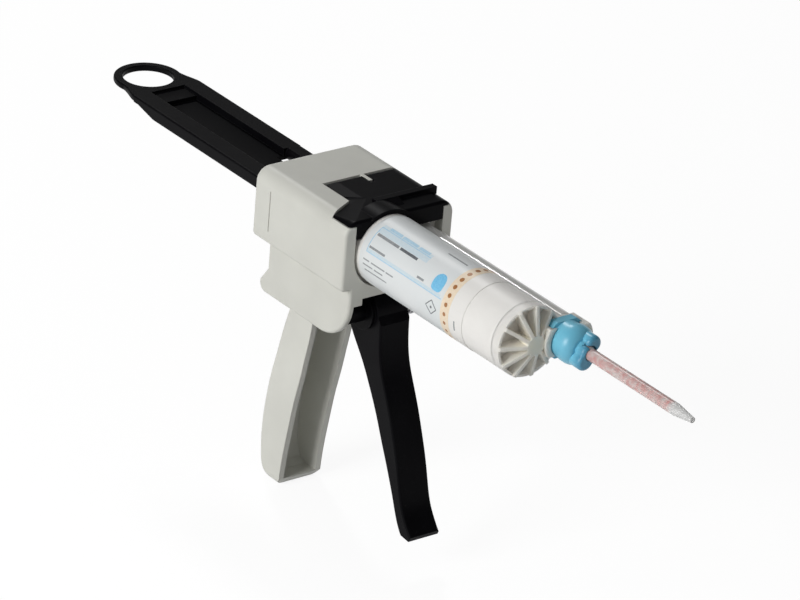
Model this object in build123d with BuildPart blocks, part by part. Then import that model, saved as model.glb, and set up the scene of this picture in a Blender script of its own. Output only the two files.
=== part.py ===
# Hand-held dispensing tool for a two-barrel cartridge with a static mixer.
# Frame in millimetres: +X is the way the paste leaves, +Z is up, +Y is the far side when
# the ring end is on the left. The origin lies in the middle of the grip, where a palm holds it.
import math
import os

from build123d import *

os.makedirs("parts", exist_ok=True)

# Cartridge: two barrels side by side, both along X
AXIS_Z = 75.0
BASE_Y = -5.2
BASE_R = 14.5
BASE_WALL = 1.3
BASE_BORE = BASE_R - BASE_WALL
CAT_R = 5.2
CAT_WALL = 1.2
CAT_BORE = CAT_R - CAT_WALL
CAT_Y = BASE_Y + BASE_R + CAT_R
MIX_Y = 8.8
BARREL_END = 137.1
RIB_DEPTH = 4.5
LABEL_GAP = 0.05
LABEL_THICK = 0.1

# Housing: an upper box over a narrower lower body
FRONT_X = 52.3
BOX_LEN = 60.5
REAR_X = FRONT_X - BOX_LEN
HALF_W = 25.9
TOP_Z = 89.75
BOX_FLOOR = 60.5
TOP_ROUND = 6.0
EDGE_ROUND = 1.3
WALL = 2.5
LOW_HALF = 21.7
LOW_REAR = -1.5
LOW_Z = 36.2
NOSE_R = 18.0
FLARE = 4.8
DECK_Z = 59.6
DECK_THICK = 2.6
FRONT_WALL = 4.8
SLOT_LEN = 3.8
GUIDE_WALL = 3.0
SLOT_X1 = FRONT_X - FRONT_WALL
SLOT_X0 = SLOT_X1 - SLOT_LEN
GUIDE_X = SLOT_X0 - GUIDE_WALL
CRADLE_ROOM = 1.2
CRADLE_R = BASE_R + CRADLE_ROOM
ARM_IN = CRADLE_R - BASE_Y
SLOT_HALF = HALF_W - WALL
SLOT_FLOOR = AXIS_Z - CRADLE_R
WALL_FLOOR = 56.0

# Pusher: a flat beam with two rails, a rack below and a pull ring at its end
BEAM_MID = 1.5
BEAM_HALF = 16.55
BEAM_TOP = 77.45
BEAM_BOT = 72.5
RAIL_IN = 8.25
RECESS = 3.0
BEAM_REAR = -107.9
BEAM_FRONT = 38.6
RING_X = -122.0
RING_R = 14.2
RING_HOLE = 10.5
RING_THICK = 2.6
RIM_ROUND = 0.8
HOLE_ROUND = 0.5
RACK_HALF = 4.0
RACK_DEPTH = 3.0
RACK_PITCH = 5.0
RACK_X0 = -90.0
SPLIT_Y0 = 6.4
SPLIT_X = -38.0
PLUNGER_FACE = SLOT_X0 - 0.3
PLUNGER_R = BASE_BORE - 1.9

# Trigger and the drive it works
PIVOT_X = 43.0
PIVOT_Z = 45.4
TRIG_HALF = 7.15
BLADE_ROUND = 0.9
PIVOT_PIN_R = 2.5
LEAN = 42.0
PIN_RISE = 12.0
DRIVE_PIN_R = 1.5
FORK_HALF = DRIVE_PIN_R + 0.65
DRIVE_X = PIVOT_X - PIN_RISE * math.tan(math.radians(LEAN))
DRIVE_Z = PIVOT_Z + PIN_RISE
CARRIAGE_X0 = 14.0
CARRIAGE_X1 = 24.8
PAWL_X = 18.0
PAWL_Z = 64.6
LEVER_X = 9.0
LEVER_Z = 66.4

# Cartridge lock on top, hinged at its rear edge
LOCK_X = 19.3
LOCK_R = 1.7
LOCK_Z = TOP_Z - LOCK_R
LOCK_PIN_R = 0.9
LOCK_NEAR = -11.8
LOCK_THICK = 3.0
LOCK_DEEP = TOP_Z - WALL - 1
WING_X = 35.1
WING_SWEEP = 0.5
WING_DROP = 1.8
WING_Z = TOP_Z - WING_DROP
EDGE_Y = SLOT_HALF - 0.4
TONGUE_Y = 6.8
TONGUE_W = 1.6
TONGUE_LEN = 4.0

# Clearances
SEAT = 0.02
RUN = 0.05
GAP = 0.3
SLIDE = 0.35

# How far a cutting block runs past the piece that it cuts
PAST = 30.0


def mid_box(x0, x1, y0, y1, z0, z1, how=Mode.ADD):
    """Adds or cuts a block given by its six limits."""
    with Locations(((x0 + x1) / 2, (y0 + y1) / 2, (z0 + z1) / 2)):
        Box(x1 - x0, y1 - y0, z1 - z0, mode=how)


def y_rod(x, z, radius, y0, y1, how=Mode.ADD):
    """Adds or cuts a round bar along Y."""
    with Locations(Location((x, (y0 + y1) / 2, z), (90, 0, 0))):
        Cylinder(radius, y1 - y0, mode=how)


def x_rod(y, z, radius, x0, x1, how=Mode.ADD):
    """Adds or cuts a round bar along X."""
    with Locations(Location(((x0 + x1) / 2, y, z), (0, 90, 0))):
        Cylinder(radius, x1 - x0, mode=how)


def side_plane(y):
    """Sketch plane whose first axis is X and second is Z, extruding towards -Y."""
    return Plane(origin=(0, y, 0), x_dir=(1, 0, 0), z_dir=(0, -1, 0))


def front_plane(x):
    """Sketch plane whose first axis is Y and second is Z, extruding towards +X."""
    return Plane(origin=(x, 0, 0), x_dir=(0, 1, 0), z_dir=(1, 0, 0))


def wing_rear(y):
    """Where the lock's near wing starts along X, swept forward towards the near side."""
    return WING_X + (LOCK_NEAR - y) * WING_SWEEP


# Lower body of the housing, with a rounded outline
LOW_TOP = BOX_FLOOR + 4
SKIRT_TOP = LOW_Z + 11.2
SKIRT_LOW = LOW_Z + 4.8
HEEL_R = 3.8
with BuildPart() as low_body:
    with BuildSketch(side_plane(LOW_HALF)):
        with BuildLine():
            Polyline((LOW_REAR, LOW_TOP), (LOW_REAR, SKIRT_TOP), (LOW_REAR - FLARE, SKIRT_LOW),
                     (LOW_REAR - FLARE, LOW_Z + HEEL_R))
            RadiusArc((LOW_REAR - FLARE, LOW_Z + HEEL_R), (LOW_REAR - FLARE + HEEL_R, LOW_Z), -HEEL_R)
            Line((LOW_REAR - FLARE + HEEL_R, LOW_Z), (FRONT_X - NOSE_R, LOW_Z))
            RadiusArc((FRONT_X - NOSE_R, LOW_Z), (FRONT_X, LOW_Z + NOSE_R), -NOSE_R)
            Polyline((FRONT_X, LOW_Z + NOSE_R), (FRONT_X, LOW_TOP), (LOW_REAR, LOW_TOP))
        make_face()
    extrude(amount=2 * LOW_HALF)
    sides = low_body.faces().sort_by(Axis.Y)
    fillet(sides[0].edges() + sides[-1].edges(), EDGE_ROUND)

# Housing
with BuildPart() as housing:
    mid_box(REAR_X, FRONT_X, -HALF_W, HALF_W, BOX_FLOOR, TOP_Z)
    long_top = housing.edges().filter_by(Axis.X).group_by(Axis.Z)[-1]
    fillet(long_top, TOP_ROUND)
    fillet(housing.faces().sort_by(Axis.X)[0].edges(), 2.2)
    fillet(housing.edges().filter_by(Axis.X).group_by(Axis.Z)[0], 1.8)
    fillet(housing.faces().sort_by(Axis.X)[-1].edges(), EDGE_ROUND)
    add(low_body.part)
    # hollow above the deck, and the cavity below it that the trigger swings in
    mid_box(REAR_X + WALL, GUIDE_X, -SLOT_HALF, SLOT_HALF, BOX_FLOOR + WALL, TOP_Z - WALL,
            Mode.SUBTRACT)
    mid_box(LOW_REAR + WALL, GUIDE_X, 4 - LOW_HALF, LOW_HALF - 4, DECK_Z, BOX_FLOOR + WALL,
            Mode.SUBTRACT)
    low_in = LOW_HALF - 2.4
    mid_box(LOW_REAR + WALL, FRONT_X + 9, -low_in, low_in, LOW_Z + 2.4, WALL_FLOOR, Mode.SUBTRACT)
    mid_box(LOW_REAR + WALL, GUIDE_X, -low_in, low_in, WALL_FLOOR - 1, DECK_Z - DECK_THICK,
            Mode.SUBTRACT)
    mid_box(16.8, FRONT_X + 9, -low_in, low_in, LOW_Z - 9, LOW_Z + 3, Mode.SUBTRACT)
    for s in (-1, 1):
        y0, y1 = sorted((s * (low_in + 0.5), s * (low_in - 3.9)))
        mid_box(FRONT_X - 12, FRONT_X, y0, y1, WALL_FLOOR - 2.8, WALL_FLOOR + 1)
    mid_box(25.0, GUIDE_X, -7.9, 7.9, DECK_Z - DECK_THICK - 1, DECK_Z + 1, Mode.SUBTRACT)
    mid_box(GUIDE_X - 0.5, SLOT_X0, -7.9, 7.9, WALL_FLOOR - 1, DECK_Z + 3.8, Mode.SUBTRACT)
    # slot for the flange, open at the top, and the cradle that the barrels drop into
    mid_box(SLOT_X0, SLOT_X1, -SLOT_HALF, SLOT_HALF, SLOT_FLOOR, TOP_Z + 1, Mode.SUBTRACT)
    with BuildSketch(front_plane(SLOT_X1 - 1)):
        with Locations((BASE_Y, AXIS_Z)):
            Circle(CRADLE_R)
        with Locations((CAT_Y, AXIS_Z)):
            Circle(ARM_IN - CAT_Y)
        with Locations((0, AXIS_Z + 12)):
            Rectangle(2 * ARM_IN, 24)
    extrude(amount=FRONT_WALL + 3, mode=Mode.SUBTRACT)
    with BuildSketch(front_plane(GUIDE_X - 1)):
        with Locations((BASE_Y, AXIS_Z)):
            Circle(BASE_BORE + 0.6)
        with Locations((CAT_Y, AXIS_Z)):
            Circle(CAT_BORE + 0.6)
        with Locations(((BASE_Y + CAT_Y) / 2, AXIS_Z)):
            Rectangle(CAT_Y - BASE_Y, 8.0)
    extrude(amount=GUIDE_WALL + 1.5, mode=Mode.SUBTRACT)
    # rear openings for the beam, its rack and the release lever
    mid_box(REAR_X - 1, REAR_X + WALL + 1, BEAM_MID - BEAM_HALF - SLIDE, BEAM_MID + BEAM_HALF + SLIDE,
            BEAM_BOT - SLIDE, BEAM_TOP + SLIDE, Mode.SUBTRACT)
    mid_box(REAR_X - 1, REAR_X + WALL + 1, -8.0, 8.0, BOX_FLOOR + WALL - 0.5, BEAM_BOT, Mode.SUBTRACT)
    # shelves that the beam slides between
    for s in (-1, 1):
        y0, y1 = sorted((s * 11.8, s * (SLOT_HALF + 0.5)))
        mid_box(32.0, BEAM_FRONT - 0.4, y0, y1, BEAM_BOT - SLIDE - WALL, BEAM_BOT - SLIDE)
        mid_box(32.0, BEAM_FRONT - 0.4, y0, y1, BEAM_TOP + SLIDE, BEAM_TOP + SLIDE + WALL)
        y0, y1 = sorted((s * 9.4, s * 11.4))
        mid_box(CARRIAGE_X0 - 1, BEAM_FRONT - 0.4, y0, y1, DECK_Z - 0.5, DECK_Z + 6.4)
        # ears of the release lever pin
        y0, y1 = sorted((s * 8.6, s * 11.0))
        mid_box(LEVER_X - 2.6, LEVER_X + 2.6, y0, y1, DECK_Z - 0.5, LEVER_Z + 2.6)
    y_rod(LEVER_X, LEVER_Z, 1.5, -11.0, 11.0, Mode.SUBTRACT)
    # seats of the trigger pin, blind from outside
    y_rod(PIVOT_X, PIVOT_Z, PIVOT_PIN_R + SEAT, -20.6, 20.6, Mode.SUBTRACT)
    # screw bosses over the grip
    for x in (4.0, 12.5):
        with Locations((x, 0, LOW_Z + 5.4)):
            Cylinder(3.2, 6.2)
        with Locations((x, 0, LOW_Z + 3)):
            Cylinder(1.5, 14, mode=Mode.SUBTRACT)
    # place of the lock: plate area, swept near wing, thin edges over the side walls and arms
    mid_box(LOCK_X - LOCK_R - GAP, SLOT_X0 + 1, LOCK_NEAR - GAP, EDGE_Y + GAP, LOCK_DEEP, TOP_Z + 1,
            Mode.SUBTRACT)
    for y, z in ((-EDGE_Y - GAP, LOCK_DEEP), (-HALF_W - 1, WING_Z - GAP)):
        with BuildSketch(Plane(origin=(0, 0, z))):
            with BuildLine():
                Polyline((wing_rear(LOCK_NEAR) - GAP, LOCK_NEAR), (wing_rear(y) - GAP, y),
                         (SLOT_X0 + 1, y), (SLOT_X0 + 1, LOCK_NEAR),
                         (wing_rear(LOCK_NEAR) - GAP, LOCK_NEAR))
            make_face()
        extrude(amount=TOP_Z + 1 - z, mode=Mode.SUBTRACT)
    mid_box(LOCK_X - LOCK_R - GAP, FRONT_X + 1, EDGE_Y, HALF_W + 1, WING_Z - GAP, TOP_Z + 1,
            Mode.SUBTRACT)
    mid_box(LOCK_X - LOCK_R - GAP, LOCK_X + LOCK_R + GAP, EDGE_Y, HALF_W + 1,
            LOCK_Z - LOCK_R - GAP, TOP_Z + 1, Mode.SUBTRACT)
    mid_box(SLOT_X0, FRONT_X + 1, -HALF_W - 1, HALF_W + 1, WING_Z - GAP, TOP_Z + 1, Mode.SUBTRACT)
    # tongue and boss that hold the hinge pin
    mid_box(LOCK_X - LOCK_R - 1, LOCK_X + TONGUE_LEN, TONGUE_Y - TONGUE_W / 2,
            TONGUE_Y + TONGUE_W / 2, LOCK_Z - 2.4, TOP_Z)
    mid_box(LOCK_X - LOCK_R - 4, LOCK_X - LOCK_R - GAP, TONGUE_Y - TONGUE_W / 2,
            TONGUE_Y + TONGUE_W / 2, LOCK_Z - 2.4, TOP_Z - 1)
    mid_box(LOCK_X - 3, LOCK_X + 3, LOCK_NEAR - 4.3, LOCK_NEAR - GAP, LOCK_Z - 3, TOP_Z - 1)
    y_rod(LOCK_X, LOCK_Z, LOCK_PIN_R, LOCK_NEAR - 3.5, TONGUE_Y + 3, Mode.SUBTRACT)
    # shallow upright step on each side near the rear
    for s in (-1, 1):
        y0, y1 = sorted((s * (HALF_W - 0.35), s * (HALF_W + 1)))
        mid_box(REAR_X + 10.8, REAR_X + 11.4, y0, y1, BOX_FLOOR + 5.5, TOP_Z - 6.75, Mode.SUBTRACT)
housing.part.label = "housing"

# Grip: a channel, open to the front
back_line = [(0.4, LOW_Z), (-2.3, 26.9), (-5.8, 15.6), (-8.4, 5.6), (-11.1, -4.5), (-13.1, -14.4),
             (-14.4, -24.1), (-14.9, -33.3), (-14.4, -41.5)]
front_line = [(16.8, LOW_Z), (15.7, 29.6), (14.2, 20.1), (12.1, 10.4), (10.0, 0.5), (7.5, -9.4),
              (5.5, -19.3), (3.7, -29.2), (2.1, -39.0), (1.2, -48.5)]
GRIP_HALF = 10.25
GRIP_WALL = 2.5
GRIP_FOOT = -51.6
with BuildPart() as handle:
    with BuildSketch(side_plane(GRIP_HALF)):
        with BuildLine():
            Spline(*back_line)
            Spline((-14.4, -41.5), (-12.6, -48.6), (-6.5, GRIP_FOOT), tangents=((0.1, -1), (1, 0)))
            Polyline((-6.5, GRIP_FOOT), (-1.2, GRIP_FOOT), (1.2, -48.5))
            Spline(*reversed(front_line))
            Line((16.8, LOW_Z), (0.4, LOW_Z))
        make_face()
    extrude(amount=2 * GRIP_HALF)
    rear_edges = [e for e in handle.edges() if e.geom_type != GeomType.LINE
                  and e.bounding_box().center().X < e.bounding_box().center().Z * 0.22 - 2.5]
    fillet(rear_edges, 3.4)
    with BuildSketch(side_plane(GRIP_HALF - GRIP_WALL)):
        with BuildLine():
            Spline(*[(x + GRIP_WALL, z) for x, z in back_line if z < 33])
            Polyline((back_line[-1][0] + GRIP_WALL, back_line[-1][1]), (-9.6, -46.5), (-6.0, -48.4),
                     (9.0, -48.4))
            Polyline((9.0, -48.4), (PAST, -10), (PAST, LOW_Z - 3.5), (0.2, LOW_Z - 3.5), (0.2, 26.9))
        make_face()
    extrude(amount=2 * (GRIP_HALF - GRIP_WALL), mode=Mode.SUBTRACT)
    for x in (4.0, 12.5):
        with Locations((x, 0, LOW_Z - 1)):
            Cylinder(1.5, 6, mode=Mode.SUBTRACT)
handle.part.label = "handle"

# Screws that hold the grip, worked from inside the channel
with BuildPart() as handle_screws:
    for x in (4.0, 12.5):
        with Locations((x, 0, LOW_Z + 2.5)):
            Cylinder(1.5, 12.0)
        with Locations((x, 0, LOW_Z - 4.7)):
            Cylinder(2.8, 2.4)
        with Locations((x, 0, LOW_Z - 5.8)):
            Box(3.6, 0.8, 1.2, mode=Mode.SUBTRACT)
            Box(0.8, 3.6, 1.2, mode=Mode.SUBTRACT)
handle_screws.part.label = "handle_screws"

# Trigger
trig_back = [(35.0, 35.6), (40.3, 28.8), (44.2, 24.0), (48.7, 17.3), (52.9, 10.4), (56.7, 3.4),
             (60.2, -3.8), (63.8, -10.9), (67.3, -18.1), (70.6, -25.4), (73.8, -32.7), (75.9, -36.2)]
trig_front = [(83.9, -36.1), (81.5, -33.2), (77.6, -27.3), (74.6, -18.6), (71.6, -8.5), (68.3, 0.4),
              (64.8, 9.0), (61.0, 17.0), (57.9, 23.6), (55.8, 30.5), (54.9, 37.5), (54.6, 43.0)]
lean = math.radians(LEAN)
ARM_DIR = (-math.sin(lean), math.cos(lean))
ARM_NORM = (math.cos(lean), math.sin(lean))


def on_arm(along, across):
    """Point in the XZ plane, measured along and across the trigger's upper arm."""
    return (PIVOT_X + along * ARM_DIR[0] + across * ARM_NORM[0],
            PIVOT_Z + along * ARM_DIR[1] + across * ARM_NORM[1])


with BuildPart() as blade:
    with BuildSketch(side_plane(TRIG_HALF)):
        with BuildLine():
            Spline(*trig_back)
            Polyline((75.9, -36.2), (77.9, -37.6), (83.0, -38.1), (83.9, -36.1))
            Spline(*trig_front)
            Polyline((54.6, 43.0), (52.4, 46.4), (34.6, 46.4), (33.2, 40.0), (35.0, 35.6))
        make_face()
    extrude(amount=2 * TRIG_HALF)
    fillet([e for e in blade.edges() if e.geom_type == GeomType.BSPLINE], BLADE_ROUND)

with BuildPart() as trigger:
    add(blade.part)
    with BuildSketch(side_plane(TRIG_HALF)):
        with Locations((PIVOT_X, PIVOT_Z)):
            Circle(9.5)
        with BuildLine():
            Polyline(on_arm(0, -4.4), on_arm(18.4, -4.4), on_arm(18.4, 1.5), on_arm(16.0, 4.0),
                     on_arm(0, 4.0), on_arm(0, -4.4))
        make_face()
    extrude(amount=2 * TRIG_HALF)
    with BuildSketch(side_plane(TRIG_HALF)):
        with BuildLine():
            Polyline(on_arm(10.9, -FORK_HALF), on_arm(22, -FORK_HALF), on_arm(22, FORK_HALF),
                     on_arm(10.9, FORK_HALF), on_arm(10.9, -FORK_HALF))
        make_face()
    extrude(amount=2 * TRIG_HALF, mode=Mode.SUBTRACT)
    with BuildSketch(side_plane(3.3)):
        with BuildLine():
            Polyline(on_arm(8.2, -9), on_arm(22, -9), on_arm(22, 9), on_arm(8.2, 9), on_arm(8.2, -9))
        make_face()
    extrude(amount=6.6, mode=Mode.SUBTRACT)
    for y0, y1 in ((-8.6, -TRIG_HALF + 0.5), (TRIG_HALF - 0.5, 8.6)):
        y_rod(PIVOT_X, PIVOT_Z, 7.8, y0, y1)
    for y0, y1 in ((-18.9, -8), (8, 18.9)):
        y_rod(PIVOT_X, PIVOT_Z, 4.2, y0, y1)
    y_rod(PIVOT_X, PIVOT_Z, PIVOT_PIN_R + RUN, -20, 20, Mode.SUBTRACT)
    # the front is hollow behind a thin rim, so the squeezing fingers meet a flat face
    with BuildSketch(side_plane(TRIG_HALF - 2.0)):
        with BuildLine():
            Spline(*[(x + 2.6, z + 1.0) for x, z in trig_back[1:-1]])
            Polyline((76.4, -31.7), (70.0, -34.0), (62.0, -20.0), (44.0, 16.0), (37.0, 27.0),
                     (42.9, 29.8))
        make_face()
    extrude(amount=2 * (TRIG_HALF - 2.0), mode=Mode.SUBTRACT)
trigger.part.label = "trigger"

with BuildPart() as trigger_pin:
    y_rod(PIVOT_X, PIVOT_Z, PIVOT_PIN_R, -20.6, 20.6)
trigger_pin.part.label = "trigger_pin"


def coil_path(radius, pitch, quarter_turns, place):
    """Joins quarter-turn arcs that climb evenly, so the wire can be swept along them."""
    points = []
    for i in range(quarter_turns * 4 + 1):
        a = math.radians(22.5 * i)
        points.append((radius * math.cos(a), radius * math.sin(a), pitch * i / 16))
    arcs = [ThreePointArc(points[i], points[i + 2], points[i + 4])
            for i in range(0, len(points) - 4, 4)]
    return place * Wire(arcs)


# Return spring of the trigger: a coil round the hub, between the trigger's boss and the cheek
SPRING_WIRE = 0.55
SPRING_R = 5.6
SPRING_PITCH = 2.1
spring_place = Plane(origin=(PIVOT_X, 9.2, PIVOT_Z), x_dir=(0, 0, 1), z_dir=(0, 1, 0)).location
spring_line = coil_path(SPRING_R, SPRING_PITCH, 18, spring_place)
print("trigger_spring least gap to itself", round(SPRING_PITCH - 2 * SPRING_WIRE, 2), "mm")
with BuildPart() as trigger_spring:
    with BuildSketch(Plane(origin=spring_line @ 0, z_dir=spring_line % 0)):
        Circle(SPRING_WIRE)
    sweep(path=spring_line)
trigger_spring.part.label = "trigger_spring"

# Drive carriage: rides on the deck and is pushed forward by the trigger's fork
with BuildPart() as drive_carriage:
    mid_box(CARRIAGE_X0, CARRIAGE_X1, -9.1, 9.1, DECK_Z + 0.1, 63.0)
    mid_box(CARRIAGE_X0, CARRIAGE_X0 + 8.0, -5.2, 5.2, DECK_Z + 1, PAWL_Z + 3.0)
    mid_box(CARRIAGE_X1 - 4, DRIVE_X + 2.2, -2.9, 2.9, DECK_Z + 0.1, 61.4)
    mid_box(DRIVE_X - 3.2, DRIVE_X + 2.2, -2.9, 2.9, DRIVE_Z - 3.0, 61.4)
    mid_box(CARRIAGE_X0 - 1, CARRIAGE_X1 + 12, -2.3, 2.3, 61.4, PAWL_Z + 4, Mode.SUBTRACT)
    y_rod(PAWL_X, PAWL_Z, 1.25, -6, 6, Mode.SUBTRACT)
    y_rod(DRIVE_X, DRIVE_Z, DRIVE_PIN_R, -3, 3, Mode.SUBTRACT)
drive_carriage.part.label = "drive_carriage"

with BuildPart() as carriage_pin:
    y_rod(DRIVE_X, DRIVE_Z, DRIVE_PIN_R, -6.6, 6.6)
carriage_pin.part.label = "carriage_pin"

# Drive pawl: its tip stays just below the rack until it is lifted
TIP_TOOTH = round((PAWL_X + 7 - RACK_X0) / RACK_PITCH)
TIP_X = RACK_X0 + RACK_PITCH * (TIP_TOOTH + 1) - 0.4
TIP_Z = BEAM_BOT - RACK_DEPTH - 0.5
with BuildPart() as drive_pawl:
    with BuildSketch(side_plane(1.9)):
        with Locations((PAWL_X, PAWL_Z)):
            Circle(2.5)
        with BuildLine():
            Polyline((PAWL_X - 1.4, PAWL_Z - 2.2), (PAWL_X + 2.6, PAWL_Z - 0.9), (TIP_X - 0.2, 65.8),
                     (TIP_X, TIP_Z), (TIP_X - 1.4, TIP_Z), (TIP_X - 2.2, TIP_Z - 1.8),
                     (PAWL_X + 1.0, PAWL_Z + 2.3), (PAWL_X - 1.4, PAWL_Z - 2.2))
        make_face()
    extrude(amount=3.8)
    y_rod(PAWL_X, PAWL_Z, 1.25 + RUN, -3, 3, Mode.SUBTRACT)
drive_pawl.part.label = "drive_pawl"

with BuildPart() as pawl_pin:
    y_rod(PAWL_X, PAWL_Z, 1.25, -5.2, 5.2)
pawl_pin.part.label = "pawl_pin"

# Spring that lifts the pawl: a short upright coil under it
PAWL_SPRING_X = PAWL_X + 4.6
print("pawl_spring least gap to itself", round(0.95 - 2 * 0.2, 2), "mm")
pawl_line = coil_path(1.3, 0.95, 6, Location((PAWL_SPRING_X, 0, 61.7)))
with BuildPart() as pawl_spring:
    with BuildSketch(Plane(origin=pawl_line @ 0, z_dir=pawl_line % 0)):
        Circle(0.2)
    sweep(path=pawl_line)
pawl_spring.part.label = "pawl_spring"

# Release lever: two pads brake the beam from below until its rear tab is pressed down
with BuildPart() as release_lever:
    mid_box(-15.6, LEVER_X, -6.9, 6.9, LEVER_Z - 1.4, LEVER_Z + 1.4)
    for s in (-1, 1):
        y0, y1 = sorted((s * 4.7, s * 7.4))
        mid_box(-4.0, 3.0, y0, y1, LEVER_Z - 1.4, BEAM_BOT - 0.1)
    y_rod(LEVER_X, LEVER_Z, 2.5, -8.3, 8.3)
    y_rod(LEVER_X, LEVER_Z, 1.5 + RUN, -9, 9, Mode.SUBTRACT)
    fillet(release_lever.edges().filter_by(Axis.Z).group_by(Axis.X)[0], 3.0)
    for i in range(3):
        mid_box(-14.2 + 1.8 * i, -13.4 + 1.8 * i, -5.2, 5.2, LEVER_Z + 1.0, LEVER_Z + 1.9)
release_lever.part.label = "release_lever"

with BuildPart() as release_pin:
    y_rod(LEVER_X, LEVER_Z, 1.5, -11.0, 11.0)
release_pin.part.label = "release_pin"

print("release_spring least gap to itself", round(1.15 - 2 * 0.3, 2), "mm")
release_line = coil_path(2.3, 1.15, 16, Location((3.6, 0, DECK_Z + 0.35)))
with BuildPart() as release_spring:
    with BuildSketch(Plane(origin=release_line @ 0, z_dir=release_line % 0)):
        Circle(0.3)
    sweep(path=release_line)
release_spring.part.label = "release_spring"

# Pusher beam with its pull ring
teeth = int((BEAM_FRONT - RACK_X0) // RACK_PITCH)
with BuildPart() as pusher:
    mid_box(BEAM_REAR, BEAM_FRONT, BEAM_MID - BEAM_HALF, BEAM_MID + BEAM_HALF, BEAM_BOT, BEAM_TOP)
    with BuildSketch(Plane(origin=(0, BEAM_MID, BEAM_TOP - RING_THICK))):
        with Locations((RING_X, 0)):
            Circle(RING_R)
        with BuildLine():
            Spline((BEAM_REAR, BEAM_HALF), (BEAM_REAR - 3.0, 16.1), (RING_X + 2.2, 13.9),
                   tangents=((-1, 0), (-1, -0.1)))
            Polyline((RING_X + 2.2, 13.9), (RING_X + 2.2, -13.9))
            Spline((RING_X + 2.2, -13.9), (BEAM_REAR - 3.0, -16.1), (BEAM_REAR, -BEAM_HALF),
                   tangents=((1, -0.1), (1, 0)))
            Line((BEAM_REAR, -BEAM_HALF), (BEAM_REAR, BEAM_HALF))
        make_face()
    extrude(amount=RING_THICK)
    for level in (BEAM_TOP, BEAM_TOP - RING_THICK):
        rim = [e for e in pusher.edges() if e.center().X < BEAM_REAR - 0.1
               and abs(e.center().Z - level) < 0.1]
        fillet(rim, RIM_ROUND)
    with Locations((RING_X, BEAM_MID, BEAM_TOP)):
        Cylinder(RING_HOLE, 12, mode=Mode.SUBTRACT)
    hole_rims = [e for e in pusher.edges() if e.geom_type == GeomType.CIRCLE
                 and abs(e.radius - RING_HOLE) < 0.01]
    fillet(hole_rims, HOLE_ROUND)
    # underside slope behind the ring, recess between the rails, and the rack
    with BuildSketch(side_plane(BEAM_MID + BEAM_HALF + 1)):
        with BuildLine():
            Polyline((BEAM_REAR - 1, BEAM_BOT - 1), (BEAM_REAR + 14, BEAM_BOT),
                     (BEAM_REAR + 3, BEAM_TOP - RING_THICK), (BEAM_REAR - 1, BEAM_TOP - RING_THICK),
                     (BEAM_REAR - 1, BEAM_BOT - 1))
        make_face()
    extrude(amount=2 * BEAM_HALF + 2, mode=Mode.SUBTRACT)
    rails = (BEAM_MID - RAIL_IN, BEAM_MID + RAIL_IN)
    mid_box(BEAM_REAR + 9, BEAM_FRONT - 6, *rails, BEAM_TOP - RECESS, BEAM_TOP + 1, Mode.SUBTRACT)
    mid_box(BEAM_REAR, BEAM_REAR + 10, *rails, BEAM_TOP - 1.2, BEAM_TOP + 1, Mode.SUBTRACT)
    with BuildSketch(side_plane(RACK_HALF)):
        with BuildLine():
            line = [(RACK_X0, BEAM_BOT + 0.5)]
            for i in range(teeth):
                x = RACK_X0 + i * RACK_PITCH
                line += [(x, BEAM_BOT - 0.4), (x, BEAM_BOT - RACK_DEPTH),
                         (x + 1.0, BEAM_BOT - RACK_DEPTH), (x + 2.2, BEAM_BOT - 0.4)]
            line += [(RACK_X0 + teeth * RACK_PITCH, BEAM_BOT - 0.4),
                     (RACK_X0 + teeth * RACK_PITCH, BEAM_BOT + 0.5), line[0]]
            Polyline(*line)
        make_face()
    extrude(amount=2 * RACK_HALF)
    # in front the beam is split into a wide rod and a narrow one that fits the small barrel
    with BuildSketch(front_plane(SPLIT_X)):
        with Locations(((SPLIT_Y0 + 20) / 2, AXIS_Z)):
            Rectangle(20 - SPLIT_Y0, 12)
        with Locations((CAT_Y, AXIS_Z)):
            Circle(CAT_BORE - SLIDE, mode=Mode.SUBTRACT)
    extrude(amount=BEAM_FRONT - SPLIT_X + 1, mode=Mode.SUBTRACT)
    for y in (BASE_Y, CAT_Y):
        x_rod(y, AXIS_Z, 1.2, BEAM_FRONT - 1, BEAM_FRONT + 2.0)
pusher.part.label = "pusher"

# Plunger faces at the front of the two rods
with BuildPart() as base_plunger:
    x_rod(BASE_Y, AXIS_Z, PLUNGER_R, PLUNGER_FACE - 3.2, PLUNGER_FACE)
    with Locations(Location(((BEAM_FRONT + PLUNGER_FACE) / 2 - 1, BASE_Y, AXIS_Z), (0, 90, 0))):
        Cylinder(8.0, PLUNGER_FACE - BEAM_FRONT - 2)
    fillet(base_plunger.edges().group_by(Axis.X)[-1], 0.8)
    x_rod(BASE_Y, AXIS_Z, 1.2, BEAM_FRONT - 1, BEAM_FRONT + 2.0, Mode.SUBTRACT)
base_plunger.part.label = "base_plunger"

with BuildPart() as catalyst_plunger:
    x_rod(CAT_Y, AXIS_Z, CAT_BORE - 0.4, BEAM_FRONT, PLUNGER_FACE)
    fillet(catalyst_plunger.edges().group_by(Axis.X)[-1], 0.5)
    x_rod(CAT_Y, AXIS_Z, 1.2, BEAM_FRONT - 1, BEAM_FRONT + 2.0, Mode.SUBTRACT)
catalyst_plunger.part.label = "catalyst_plunger"

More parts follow.
